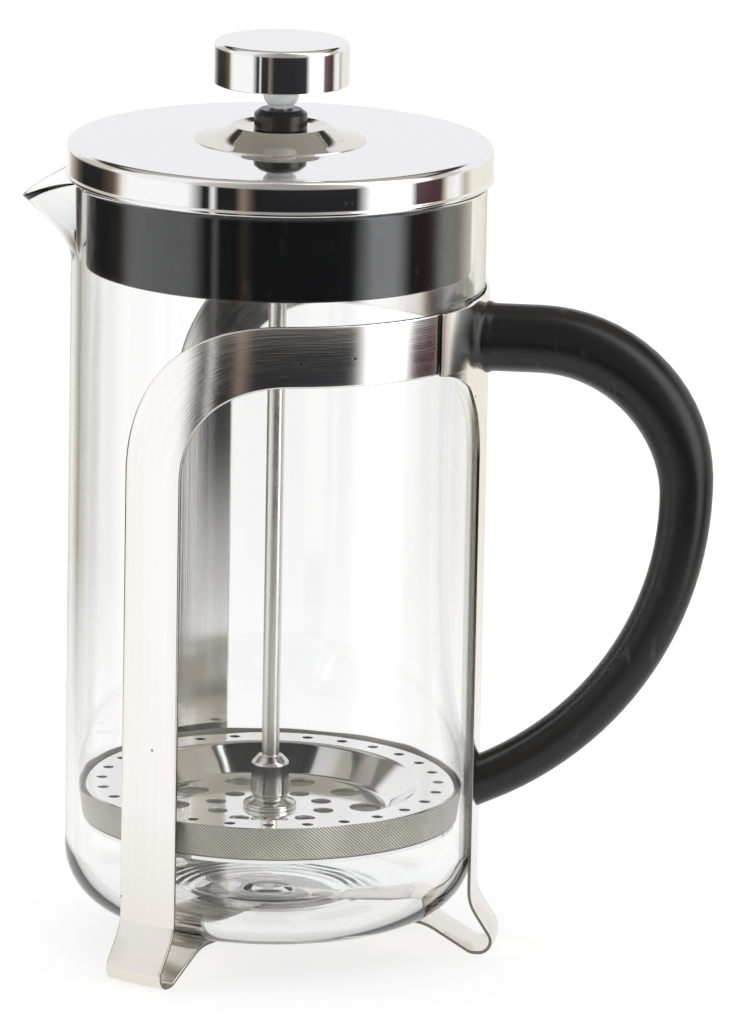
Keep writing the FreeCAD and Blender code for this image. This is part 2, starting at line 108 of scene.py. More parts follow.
def beaker_axis() -> float:
    """The beaker's axis along X, in metres, read from the rod that stands on it."""
    low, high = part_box("plunger_rod")
    return (low.x + high.x) / 2.0


AXIS_X = beaker_axis()


def at(x: float, y: float, z: float) -> Vector:
    """A point in the frame in metres, from millimetres about the beaker's axis."""
    return Vector((AXIS_X + x * MM, y * MM, z * MM))


def polar(bearing: float, reach: float, height: float) -> Spot:
    """The X, Y and Z of a place or a move, from its bearing in radians, its reach and its height."""
    return reach * cos(bearing), reach * sin(bearing), height


# --- mesh tools


def rounded(corners: Sequence[Corner], closed: bool = True, bend_step: float = 12.0) -> list[Vector]:
    """Round an outline's corners, and hold its long straights with a point close to each end.

    Args:
        corners: (radius, height) or (radius, height, corner radius), in millimetres.
        closed: Whether the last corner joins the first.
        bend_step: The most degrees that a bend turns from one point to the next.

    Returns:
        The outline's points.
    """
    bent: list[Vector] = []
    count = len(corners)
    for index, corner in enumerate(corners):
        here = Vector(corner[:2])
        if len(corner) < 3 or (not closed and index in (0, count - 1)):
            bent.append(here)
            continue
        back = (Vector(corners[index - 1][:2]) - here).normalized()
        ahead = (Vector(corners[(index + 1) % count][:2]) - here).normalized()
        half = back.angle(ahead) / 2.0
        centre = here + (back + ahead).normalized() * (corner[2] / sin(half))
        spoke = here + back * (corner[2] / tan(half)) - centre
        turn = copysign(pi - 2.0 * half, -back.cross(ahead))
        steps = max(2, ceil(degrees(abs(turn)) / bend_step))
        bent += [centre + Matrix.Rotation(turn * step / steps, 2) @ spoke for step in range(steps + 1)]
    return held(bent, closed)


def held(points: Sequence[Vector], closed: bool, hold: float = 0.22) -> list[Vector]:
    """Hold every long straight, so that shading stays flat along it.

    Args:
        points: The outline's points.
        closed: Whether the last point joins the first.
        hold: How far from a straight's ends its new points are, in millimetres.

    Returns:
        The points with the new ones between them.
    """
    result: list[Vector] = []
    for here, ahead in zip(points, [*points[1:], points[0 if closed else -1]]):
        result.append(here)
        run = ahead - here
        if run.length > 6.0 * hold:
            result += [here + run.normalized() * hold, here + run - run.normalized() * hold]
    return result


def deselect_all() -> None:
    """Leave nothing selected, in object mode."""
    if bpy.context.object is not None and bpy.context.object.mode != "OBJECT":
        bpy.ops.object.mode_set(mode="OBJECT")
    bpy.ops.object.select_all(action="DESELECT")


def take_up(piece: Piece) -> None:
    """Make one piece the selected and active one."""
    deselect_all()
    piece.select_set(True)
    bpy.context.view_layer.objects.active = piece


def edit_all() -> None:
    """Edit the active piece, with all of it selected."""
    bpy.ops.object.mode_set(mode="EDIT")
    bpy.ops.mesh.select_all(action="SELECT")


def closed_up() -> None:
    """Weld what coincides in the active piece, and turn every face outwards."""
    edit_all()
    bpy.ops.mesh.remove_doubles(threshold=WELD)
    bpy.ops.mesh.normals_make_consistent(inside=False)
    bpy.ops.object.mode_set(mode="OBJECT")


def placed(name: str) -> Piece:
    """Name the new primitive, and put its place into its mesh."""
    piece = bpy.context.object
    piece.name = piece.data.name = name
    bpy.ops.object.transform_apply(location=True, rotation=True, scale=True)
    return piece


def shade(piece: Piece, angle: float = 34.0) -> Piece:
    """Shade a piece smooth, with a crease wherever it turns by more than an angle in degrees."""
    take_up(piece)
    bpy.ops.object.shade_smooth_by_angle(angle=radians(angle))
    return piece


def worked(piece: Piece, kind: str, **settings: object) -> Piece:
    """Apply a modifier to a piece.

    Args:
        piece: The piece.
        kind: The modifier's type.
        settings: The modifier's own settings.

    Returns:
        The same piece.
    """
    take_up(piece)
    modifier = piece.modifiers.new(kind.title(), kind)
    for key, value in settings.items():
        setattr(modifier, key, value)
    bpy.ops.object.modifier_apply(modifier=modifier.name)
    return piece


def edges_broken(piece: Piece, width: float, angle: float) -> Piece:
    """Bevel the edges that turn by more than an angle in degrees, by a width in millimetres."""
    worked(piece, "BEVEL", width=width * MM, segments=2, limit_method="ANGLE", angle_limit=radians(angle))
    return shade(piece, 50.0)


def flat_faced(piece: Piece) -> Piece:
    """Shade a drilled sheet so that its faces look flat up to the holes."""
    return worked(shade(piece, 50.0), "WEIGHTED_NORMAL", weight=80, keep_sharp=True)


def turned(name: str, outline: Sequence[Vector], steps: int = 144) -> Piece:
    """Turn an outline about the beaker's axis, as on a lathe.

    Args:
        name: The piece's name.
        outline: Points (radius, height) in millimetres. One that starts on the axis also ends on it, and any
            other is closed.
        steps: The number of steps in the full turn.

    Returns:
        The turned piece.
    """
    deselect_all()
    bpy.ops.mesh.primitive_plane_add(size=0.1 * MM, location=at(outline[0].x, 0.0, outline[0].y))
    piece = placed(name)
    edit_all()
    bpy.ops.mesh.merge(type="CENTER")
    route = [*outline, outline[0]] if outline[0].x > 0.0 else outline
    for before, after in zip(route, route[1:]):
        step = (after - before) * MM
        bpy.ops.mesh.extrude_region_move(TRANSFORM_OT_translate={"value": (step.x, 0.0, step.y)})
    bpy.ops.mesh.select_all(action="SELECT")
    bpy.ops.mesh.spin(steps=steps, angle=TURN, center=at(0.0, 0.0, 0.0), axis=(0.0, 0.0, 1.0))
    closed_up()
    return shade(piece)


def reshaped(piece: Piece, move: Move) -> None:
    """Press a piece into shape.

    Args:
        piece: The piece.
        move: From a point's radius and height in millimetres and its angle about the axis in degrees, with
            180 at the spout, to its move along X, Y and Z in millimetres.
    """
    for vertex in piece.data.vertices:
        x = vertex.co.x - AXIS_X
        radius = hypot(x, vertex.co.y)
        angle = degrees(atan2(vertex.co.y, x))
        vertex.co += move(radius / MM, vertex.co.z / MM, angle) * MM
    piece.data.update()


def lofted(name: str, stations: Sequence[tuple[Vector, float, float]], sides: int) -> Piece:
    """Draw a round bar through stations in the XZ plane by extruding a circle from one to the next.

    Args:
        name: The piece's name.
        stations: (centre in metres, downward turn of the heading in degrees, radius in metres).
        sides: The number of sides of the bar.

    Returns:
        The bar, closed at both ends.
    """
    deselect_all()
    centre, turn, radius = stations[0]
    heading = (0.0, radians(90.0 + turn), 0.0)
    bpy.ops.mesh.primitive_circle_add(vertices=sides, radius=radius, location=centre, rotation=heading)
    bar = placed(name)
    edit_all()
    for after_centre, after_turn, after_radius in stations[1:]:
        grow = after_radius / radius
        bpy.ops.mesh.extrude_region_move(TRANSFORM_OT_translate={"value": after_centre - centre})
        bpy.ops.transform.resize(value=(grow, grow, grow), center_override=after_centre)
        if after_turn != turn:
            # With no window this operator turns the other way, hence the minus.
            angle = -radians(after_turn - turn)
            bpy.ops.transform.rotate(value=angle, orient_axis="Y", center_override=after_centre)
        centre, turn, radius = after_centre, after_turn, after_radius
    bpy.ops.mesh.select_all(action="SELECT")
    bpy.ops.mesh.fill_holes(sides=0)
    closed_up()
    return bar


def drilled(piece: Piece, drills: Sequence[tuple[Vector, float]], depth: float, along: Vector) -> None:
    """Drill holes through a piece.

    Args:
        piece: The piece.
        drills: (centre, hole radius), in metres.
        depth: The drills' length in metres.
        along: The direction of the holes.
    """
    deselect_all()
    turn = along.to_track_quat("Z", "Y").to_euler()
    tools = []
    for centre, radius in drills:
        bpy.ops.mesh.primitive_cylinder_add(
            vertices=40, radius=radius, depth=depth, location=centre, rotation=turn
        )
        tools.append(bpy.context.object)
    for tool in tools:
        tool.select_set(True)
    bpy.ops.object.join()
    cutter = bpy.context.object
    worked(piece, "BOOLEAN", operation="DIFFERENCE", object=cutter, solver="EXACT")
    bpy.data.objects.remove(cutter)


def fitted(piece: Piece, finish: Material, body: Body, node: str) -> None:
    """Dress a piece, mount it on its body and report it.

    Args:
        piece: The finished piece.
        finish: Its material.
        body: The body that it rides on.
        node: The frame's node that it stands for.
    """
    piece.data.materials.clear()
    piece.data.materials.append(finish)
    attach(piece, body.value)
    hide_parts(node)
    LOG.info("%s: %d faces on %s, for %s", piece.name, len(piece.data.polygons), body.value, node)


def dressed(finish: Material, *nodes: str) -> None:
    """Give some of the frame's own nodes their finish.

    Args:
        finish: Their material.
        nodes: Their names.
    """
    for node in nodes:
        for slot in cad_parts[node].material_slots:
            slot.material = finish
        LOG.info("%s: the frame's own node, finished as %s", node, finish.name)


# --- finishes


class Nodes:
    """A tree of shader nodes, laid out step by step."""

    def __init__(self, tree: bpy.types.NodeTree) -> None:
        """Take up a tree."""
        self.tree = tree

    def node(
        self, kind: str, inputs: dict[str | int, object] | None = None, **settings: object
    ) -> bpy.types.Node:
        """Add a node.

        Args:
            kind: The node's type, without its "ShaderNode" part.
            inputs: Values for its sockets, or sockets to take them from.
            settings: The node's own settings.

        Returns:
            The node.
        """
        made = self.tree.nodes.new("ShaderNode" + kind)
        for key, value in settings.items():
            setattr(made, key, value)
        for key, value in (inputs or {}).items():
            self.feed(made.inputs[key], value)
        return made

    def feed(self, socket: Socket, value: object) -> None:
        """Set a socket, with a colour made opaque, or link another socket to it."""
        if isinstance(value, Socket):
            self.tree.links.new(value, socket)
        else:
            socket.default_value = (*value, 1.0) if socket.type == "RGBA" else value

    def sum(self, operation: str, *values: object) -> Socket:
        """The result of one step of arithmetic."""
        return self.node("Math", dict(enumerate(values)), operation=operation).outputs[0]

    def spread(self, value: Socket, old: Sequence[float], new: Sequence[float]) -> Socket:
        """Carry a value from an old range to a new one, and hold it there."""
        ranges = {"Value": value, "From Min": old[0], "From Max": old[1], "To Min": new[0], "To Max": new[1]}
        return self.node("MapRange", ranges).outputs["Result"]

    def climb(self, value: Socket, low: float, high: float) -> Socket:
        """A smooth step from nought to one as a value goes from low to high."""
        ranges = {"Value": value, "From Min": low, "From Max": high}
        return self.node("MapRange", ranges, interpolation_type="SMOOTHSTEP").outputs["Result"]

    def within(self, value: Socket, low: float, high: float) -> Socket:
        """One where a whole number is from low to high, and nought elsewhere."""
        return self.sum("COMPARE", value, (low + high) / 2.0, (high - low) / 2.0 + 0.5)

    def blend(self, share: Socket, first: object, second: object) -> Socket:
        """Mix two colours."""
        inputs = {"Factor": share, "A": first, "B": second}
        return self.node("Mix", inputs, data_type="RGBA").outputs["Result"]

    def bands(self, share: Socket, stops: Sequence[tuple[float, Colour]]) -> Socket:
        """A band of colours.

        Args:
            share: The place along the band, from nought to one.
            stops: (degrees, colour) in rising order, with the first at -180, the band's start.

        Returns:
            The colour there.
        """
        ramp = self.node("ValToRGB", {0: share})
        points = ramp.color_ramp.elements
        points.remove(points[1])
        points[0].color = (*stops[0][1], 1.0)
        for bearing, colour in stops[1:]:
            points.new((bearing + 180.0) / 360.0).color = (*colour, 1.0)
        return ramp.outputs[0]


class Recipe(Nodes):
    """One material's nodes."""

    def __init__(self, name: str) -> None:
        """Start a material with its principled shader."""
        self.material = bpy.data.materials.new(name)
        self.material.use_nodes = True
        super().__init__(self.material.node_tree)
        self.shader = self.tree.nodes["Principled BSDF"]
        self.output = self.tree.nodes["Material Output"]

    def sets(self, **values: object) -> None:
        """Set or link the shader's sockets, named with underscores for spaces."""
        for key, value in values.items():
            self.feed(self.shader.inputs[key.replace("_", " ")], value)

    def stretched(self, vector: Socket, scale: Sequence[float]) -> Socket:
        """A place on the piece, stretched by a scale."""
        return self.node("Mapping", {"Vector": vector, "Scale": scale}).outputs[0]

    def place(self, scale: Sequence[float] = (1.0, 1.0, 1.0)) -> Socket:
        """The place on the piece in metres from the beaker's axis, stretched by a scale."""
        where = self.node("TexCoord").outputs["Object"]
        centred = self.node("Mapping", {"Vector": where, "Location": (-AXIS_X, 0.0, 0.0)}).outputs[0]
        return self.stretched(centred, scale)

    def unrolled(self) -> tuple[Socket, Socket, Socket]:
        """The place about the beaker's axis, as its angle in radians, radius and height."""
        x, y, z = self.node("SeparateXYZ", {0: self.place()}).outputs
        square = self.sum("ADD", self.sum("MULTIPLY", x, x), self.sum("MULTIPLY", y, y))
        return self.sum("ARCTAN2", y, x), self.sum("SQRT", square), z

    def noise(self, vector: Socket, scale: float = 1.0, detail: float = 3.0) -> Socket:
        """An even noise from nought to one."""
        return self.node("TexNoise", {"Vector": vector, "Scale": scale, "Detail": detail}).outputs["Fac"]

    def bump(self, height: Socket, depth: float, strength: float = 1.0, **below: Socket) -> Socket:
        """Relief from a height, with its depth in metres, laid over the relief that Normal gives."""
        inputs = {"Height": height, "Distance": depth, "Strength": strength, **below}
        return self.node("Bump", inputs).outputs["Normal"]


def dimmed(colour: Colour, share: float) -> Colour:
    """A darker shade of a colour."""
    return tuple(share * part for part in colour)


@dataclass(frozen=True)
class Finish:
    """A finish, laid out by the rules of its kind."""

    name: str

    def make(self) -> Material:
        """The finish as a material."""
        recipe = Recipe(self.name)
        recipe.sets(**self.looks(recipe))
        return recipe.material

    def looks(self, recipe: Recipe) -> Looks:
        """What this kind sets the shader's sockets to."""
        raise NotImplementedError


@dataclass(frozen=True)
class MirrorSteel(Finish):
    """Polished sheet or bar: nearly a mirror, with faint ripples, wiping marks and dust."""

    tint: Colour
    roughness: float
    ripple: float
    ripple_scale: float = 55.0

    def looks(self, recipe: Recipe) -> Looks:
        """Dull the mirror where it was wiped and where dust lies."""
        place = recipe.place()
        wiped = recipe.noise(recipe.place((90.0, 30.0, 60.0)), detail=5.0)
        dust = recipe.spread(recipe.noise(place, 900.0, 2.0), (0.69, 0.76), (0.0, 1.0))
        smear = recipe.spread(wiped, (0.35, 0.75), (self.roughness, self.roughness * 1.9))
        return dict(
            Metallic=1.0,
            Base_Color=recipe.blend(dust, self.tint, dimmed(self.tint, 0.82)),
            Roughness=recipe.sum("ADD", smear, recipe.sum("MULTIPLY", dust, 0.15)),
            Normal=recipe.bump(recipe.noise(place, self.ripple_scale, 1.0), self.ripple),
        )


@dataclass(frozen=True)
class StrapSteel(Finish):
    """Strip steel with a fine grain along its length, handling marks and a few small pits."""

    tint: Colour
    shade: Colour
    painted_foot_reflection: Colour
    cut: Colour
    pit: Colour = (0.16, 0.12, 0.09)
    along: float = 7.0
    across: float = 190.0
    cut_from: float = 0.4985

    def looks(self, recipe: Recipe) -> Looks:
        """Run the grain along the strip, darken its cut edges and pits, and paint a darker olive reflection
        near its foot.
        """
        strip = recipe.node("TexCoord").outputs["UV"]
        grain = recipe.noise(recipe.stretched(strip, (self.along, self.across, 1.0)), detail=4.0)
        cloud = recipe.noise(recipe.stretched(strip, (self.along / 2, 9.0, 1.0)))
        lines = recipe.noise(recipe.stretched(strip, (14.0, 60.0, 1.0)), detail=6.0)
        pits = recipe.spread(recipe.noise(recipe.place(), 420.0, 1.0), (0.79, 0.81), (0.0, 0.8))
        clean = recipe.blend(recipe.spread(cloud, (0.35, 0.75), (0.0, 0.4)), self.tint, self.shade)
        # Painted reflection: the lowest 45 mm of each strap blend towards a darker olive colour.
        low = recipe.spread(recipe.unrolled()[2], (0.006, 0.045), (0.75, 0.0))
        off_middle = recipe.sum("SUBTRACT", recipe.node("SeparateXYZ", {0: strip}).outputs["Y"], 0.5)
        cut_edge = recipe.sum("GREATER_THAN", recipe.sum("ABSOLUTE", off_middle), self.cut_from)
        faced = recipe.blend(cut_edge, recipe.blend(low, clean, self.painted_foot_reflection), self.cut)
        crown = recipe.sum("MULTIPLY", recipe.sum("MULTIPLY", off_middle, off_middle), -1.0)
        brushed = recipe.bump(lines, 0.00003, 0.6, Normal=recipe.bump(crown, 0.0009))
        rough = recipe.spread(grain, (0.25, 0.75), (0.08, 0.13))
        return dict(
            Metallic=1.0,
            Anisotropic=0.4,
            Base_Color=recipe.blend(pits, faced, self.pit),
            Roughness=recipe.sum("ADD", rough, recipe.spread(cloud, (0.4, 0.8), (0.0, 0.06))),
            Normal=recipe.bump(grain, 0.000003, 0.5, Normal=brushed),
        )


@dataclass(frozen=True)
class WovenWire(Finish):
    """Twill-woven wire cloth: two sets of fine wires that shine on their crowns, with painted shade between
    them.
    """

    tint: Colour
    gap_shade: Colour
    pitch: float = 0.00044
    wall_radius: float = 0.0455

    def looks(self, recipe: Recipe) -> Looks:
        """Cross the two sets of wires, and step them by the twill."""
        angle, radius, height = recipe.unrolled()
        around = recipe.sum("MULTIPLY", angle, self.wall_radius)
        upward = recipe.sum("ADD", height, radius)
        turn = TURN / self.pitch
        warp = recipe.sum("SINE", recipe.sum("MULTIPLY", around, turn))
        weft = recipe.sum("SINE", recipe.sum("MULTIPLY", upward, turn))
        twill = recipe.sum("SINE", recipe.sum("MULTIPLY", recipe.sum("ADD", around, upward), turn / 2.0))
        weave = recipe.sum("MULTIPLY_ADD", recipe.sum("MULTIPLY", warp, weft), 0.5, twill)
        cover = recipe.spread(weave, (-0.9, 0.7), (0.0, 1.0))
        cloud = recipe.noise(recipe.place(), 70.0)
        shaded = recipe.blend(recipe.spread(cloud, (0.35, 0.7), (0.0, 0.55)), self.tint, self.gap_shade)
        return dict(
            Metallic=1.0,
            # Painted shade: the dark gap colour fills the weave between the wires' crowns.
            Base_Color=recipe.blend(cover, self.gap_shade, shaded),
            Roughness=recipe.spread(cover, (0.0, 1.0), (0.6, 0.3)),
            Normal=recipe.bump(cover, 0.00012, 0.8),
        )


@dataclass(frozen=True)
class MouldedPlastic(Finish):
    """Moulded plastic: a fine grain, gentle sink marks and lighter scuffs from handling."""

    colour: Colour
    roughness: float
    grain: float
    scuff: float
    shine: float = 0.5

    def looks(self, recipe: Recipe) -> Looks:
        """Lay the grain over the sink marks, and pale and dull the scuffs."""
        place = recipe.place()
        sink = recipe.noise(place, 45.0, 2.0)
        marks = recipe.noise(recipe.place((260.0, 260.0, 90.0)), detail=6.0)
        scuffs = recipe.spread(marks, (0.62, 0.72), (0.0, self.scuff))
        relief = recipe.sum("MULTIPLY_ADD", sink, 6.0, recipe.noise(place, 1800.0, 2.0))
        rough = recipe.spread(sink, (0.3, 0.7), (self.roughness * 0.88, self.roughness * 1.12))
        return dict(
            Base_Color=recipe.blend(scuffs, self.colour, tuple(part + 0.12 for part in self.colour)),
            Roughness=recipe.sum("ADD", rough, recipe.sum("MULTIPLY", scuffs, 0.3)),
            Specular_IOR_Level=self.shine,
            Normal=recipe.bump(relief, self.grain, 0.7),
        )


@dataclass(frozen=True)
class MilkyPlastic(Finish):
    """A pale moulded plastic that lets a little light in."""

    colour: Colour

    def looks(self, recipe: Recipe) -> Looks:
        """Cloud the colour, the gloss and the surface a little."""
        cloud = recipe.noise(recipe.place(), 260.0)
        return dict(
            Base_Color=recipe.blend(cloud, self.colour, dimmed(self.colour, 0.93)),
            Roughness=recipe.spread(cloud, (0.3, 0.7), (0.26, 0.36)),
            Subsurface_Weight=0.35,
            Subsurface_Scale=0.002,
            Normal=recipe.bump(cloud, 0.00002, 0.5),
        )


@dataclass(frozen=True)
class BeakerGlass(Finish):
    """Clear blown glass, faintly grey-green where it is seen through a long way."""

    absorbed: Colour
    density: float

    def looks(self, recipe: Recipe) -> Looks:
        """Tint the glass's body, and ripple and breathe on its surface."""
        body = recipe.node("VolumeAbsorption", {"Color": self.absorbed, "Density": self.density})
        recipe.feed(recipe.output.inputs["Volume"], body.outputs[0])
        breath = recipe.noise(recipe.place(), 60.0, 4.0)
        wave = recipe.noise(recipe.place((18.0, 18.0, 7.0)), detail=1.0)
        return dict(
            Base_Color=(1.0, 1.0, 1.0),
            Transmission_Weight=1.0,
            IOR=1.47,
            Roughness=recipe.spread(breath, (0.55, 0.8), (0.0, 0.012)),
            Normal=recipe.bump(wave, 0.0003, 0.35),
        )


@dataclass(frozen=True)
class PlainMetal(Finish):
    """Turned or stamped fastener metal, with tool marks around the beaker's axis."""

    tint: Colour
    roughness: float
    tool_marks: float = 18000.0

    def looks(self, recipe: Recipe) -> Looks:
        """Ring the metal with tool marks, and cloud its colour and gloss."""
        marks = recipe.sum("SINE", recipe.sum("MULTIPLY", recipe.unrolled()[1], self.tool_marks))
        cloud = recipe.noise(recipe.place(), 300.0, 4.0)
        return dict(
            Metallic=1.0,
            Base_Color=recipe.blend(cloud, self.tint, dimmed(self.tint, 0.72)),
            Roughness=recipe.spread(cloud, (0.3, 0.7), (self.roughness * 0.8, self.roughness * 1.3)),
            Normal=recipe.bump(recipe.sum("MULTIPLY_ADD", marks, 0.3, cloud), 0.00002, 0.6),
        )


# --- the strap frame


@dataclass(frozen=True)
class StrapFrame:
    """The two arms of the band with their legs, and the strut below the handle.

    A spot on a strap is its angle in degrees, radius and height, and a rib is the two ends of a line across.
    """

    steel: Material
    fastener: Material
    thickness: float = 0.8
    width: float = 15.5
    radius: float = 49.4
    band_bottom: float = 145.2
    band_top: float = 159.6
    leg_angle: float = 118.5
    leg_heights: tuple[float, ...] = (96.0, 72.0, 50.0, 34.0)
    arm_end: float = 22.5
    inner_bend: float = 23.6
    outer_bend: float = 38.0
    wing_fillet: float = 24.0
    wing_angle: float = 34.5
    wing_step: float = 14.5
    wing_rise: float = 7.0
    flare: float = 31.5
    flare_bend: float = 10.4
    flare_height: float = 12.57
    foot_bend: float = 2.9
    foot_centre: float = 51.9
    foot_flat: float = 1.0
    heel_angle: float = 32.0
    return_height: float = 7.5
    return_end: float = 5.5
    held_edge: float = 0.025

    def foot_route(self) -> list[Vector]:
        """The strap's centre line from the leg down round the foot and in below the beaker."""
        middle = self.thickness / 2.0
        flare, heel = radians(self.flare), radians(self.heel_angle)
        bend_end = self.foot_centre + self.foot_bend * cos(flare)
        toe = bend_end + (self.foot_bend + self.foot_bend * sin(flare)) * tan(flare)
        heel_reach = self.foot_centre - self.foot_flat - self.foot_bend * tan(heel / 2.0)
        inward = heel_reach - (self.return_height - middle) / tan(heel)
        corners = [
            (self.radius, 30.0), (self.radius, self.flare_height, self.flare_bend),
            (toe, middle, self.foot_bend), (heel_reach, middle, self.foot_bend),
            (inward, self.return_height, self.flare_bend), (self.return_end, self.return_height),
        ]
        return rounded(corners, closed=False, bend_step=9.0)

    def wrapped(self, across: float, height: float) -> Spot:
        """A point of the flat plan, laid on the band's cylinder."""
        return degrees(asin(across / self.radius)), self.radius, height

    def level_rib(self, half: float, height: float) -> Rib:
        """A level rib of half a width to each side."""
        return self.wrapped(-half, height), self.wrapped(half, height)

    def leg_ribs(self, bend_end: float) -> list[Rib]:
        """Lay ribs down a strap's leg, and square across its foot.

        Args:
            bend_end: The height at which the bend above the leg ends.

        Returns:
            The ribs.
        """
        half = self.width / 2.0
        ribs = [self.level_rib(half, height) for height in (bend_end - 1.5, *self.leg_heights)]
        for spot in self.foot_route():
            angle, reach = degrees(atan2(half, spot.x)), hypot(half, spot.x)
            if spot.x > self.width:
                angle, reach = degrees(asin(half / spot.x)), spot.x
            ribs.append(((-angle, reach, spot.y), (angle, reach, spot.y)))
        return ribs

    def arm_ribs(self, stations: int = 16, bends: int = 22) -> list[Rib]:
        """Lay the ribs of one arm.

        Args:
            stations: How many ribs the straight part of the band has.
            bends: How many steps the corner has.

        Returns:
            The ribs, from the band's end round the corner and down the leg to the foot.
        """
        outer_y = self.outer_bend - self.width / 2.0
        inner_y = self.width / 2.0 + self.inner_bend
        centre_z = self.band_bottom - self.inner_bend
        start = self.leg_angle - self.arm_end
        run = degrees(asin(inner_y / self.radius)) + 2.0 - start
        ribs = []
        for index in range(stations):
            angle = start + run * index / (stations - 1)
            ribs.append(((angle, self.radius, self.band_top), (angle, self.radius, self.band_bottom)))
        for index in range(bends + 1):
            turn = radians(90.0 * index / bends)
            sides = ((outer_y, self.outer_bend), (inner_y, self.inner_bend))
            ribs.append(tuple(self.wrapped(y - r * sin(turn), centre_z + r * cos(turn)) for y, r in sides))
        return ribs + self.leg_ribs(centre_z)

    def strut_ribs(self, bends: int = 20) -> list[Rib]:
        """Lay the ribs of the strut.

        Args:
            bends: How many steps the fillet below the wings has.

        Returns:
            The ribs, from the wings' top edge down the leg to the foot.
        """
        centre_z = self.band_bottom - self.wing_fillet
        centre_y = self.width / 2.0 + self.wing_fillet
        widest = self.radius * sin(radians(self.wing_angle))
        steepest = degrees(acos((centre_y - widest) / self.wing_fillet))
        heights = (self.band_top, self.band_top - 0.4, 156.0, 152.0, 148.0)
        ribs = [self.level_rib(widest, height) for height in heights]
        for index in range(bends + 1):
            turn = radians(steepest * (1.0 - index / bends))
            half = centre_y - self.wing_fillet * cos(turn)
            ribs.append(self.level_rib(half, centre_z + self.wing_fillet * sin(turn)))
        return ribs + self.leg_ribs(centre_z)

    def strap(self, name: str, ribs: Sequence[Rib], leg: float, hand: float = 1.0, columns: int = 8) -> Piece:
        """Lay a flat blank along ribs, and give it its thickness and broken edges.

        Args:
            name: The piece's name.
            ribs: The ribs, from one end of the strap to the other.
            leg: The leg's angle about the axis in degrees.
            hand: One, or minus one where angles run the other way round.
            columns: The number of faces across the strap. The strut has more, for its wings' step.

        Returns:
            The strap.
        """
        deselect_all()
        bpy.ops.mesh.primitive_grid_add(x_subdivisions=len(ribs) - 1, y_subdivisions=columns, size=1.0)
        piece = placed(name)
        for vertex in piece.data.vertices:
            first, last = ribs[round((vertex.co.x + 0.5) * (len(ribs) - 1))]
            share = self.held_share(vertex.co.y + 0.5, columns)
            angle, radius, height = (a + (b - a) * share for a, b in zip(first, last))
            if columns > 8:
                radius += self.joggle(angle, height)
            vertex.co = at(*polar(radians(leg + hand * angle), radius, height))
        piece.data.update()
        worked(piece, "SOLIDIFY", thickness=self.thickness * MM, offset=0.0, use_even_offset=True)
        closed_up()
        return edges_broken(shade(piece, 40.0), 0.14, 50.0)

    def held_share(self, share: float, columns: int) -> float:
        """Move the outermost columns close to a strap's edges, so that its face shades flat up to them.

        Args:
            share: A column's place across an even blank, from nought to one.
            columns: The number of faces across.

        Returns:
            The column's place across the strap.
        """
        column = round(share * columns)
        if column in (0, columns):
            return float(column == columns)
        return self.held_edge + (1.0 - 2.0 * self.held_edge) * (column - 1) / (columns - 2)

    def joggle(self, angle: float, height: float) -> float:
        """How far the strut's wings step out to lie over the arms' ends."""
        step = min(1.0, max(0.0, (abs(angle) - self.wing_step) / self.wing_rise))
        return (self.thickness + 0.01) * step * step * (3.0 - 2.0 * step) if height > 100.0 else 0.0

    def build(self) -> None:
        """Make and fit the straps, and finish the plate, rivets and screws."""
        arm = self.arm_ribs()
        front = self.strap("strap_front", arm, -self.leg_angle)
        back = self.strap("strap_back", arm, self.leg_angle, hand=-1.0)
        strut = self.strap("strap_strut", self.strut_ribs(), 0.0, columns=44)
        low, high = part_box("handle_screws")
        head = 2.9 * MM
        drills = [(Vector((low.x, 0.0, height)), head) for height in (low.z + head, high.z - head)]
        drilled(strut, drills, 6.0 * MM, Vector((1.0, 0.0, 0.0)))
        flat_faced(strut)
        for piece, node in ((front, "frame_arm_front"), (back, "frame_arm_back"), (strut, "handle_strut")):
            fitted(piece, self.steel, Body.FRAME, node)
        dressed(self.fastener, "base_plate", "base_rivets", "handle_screws")


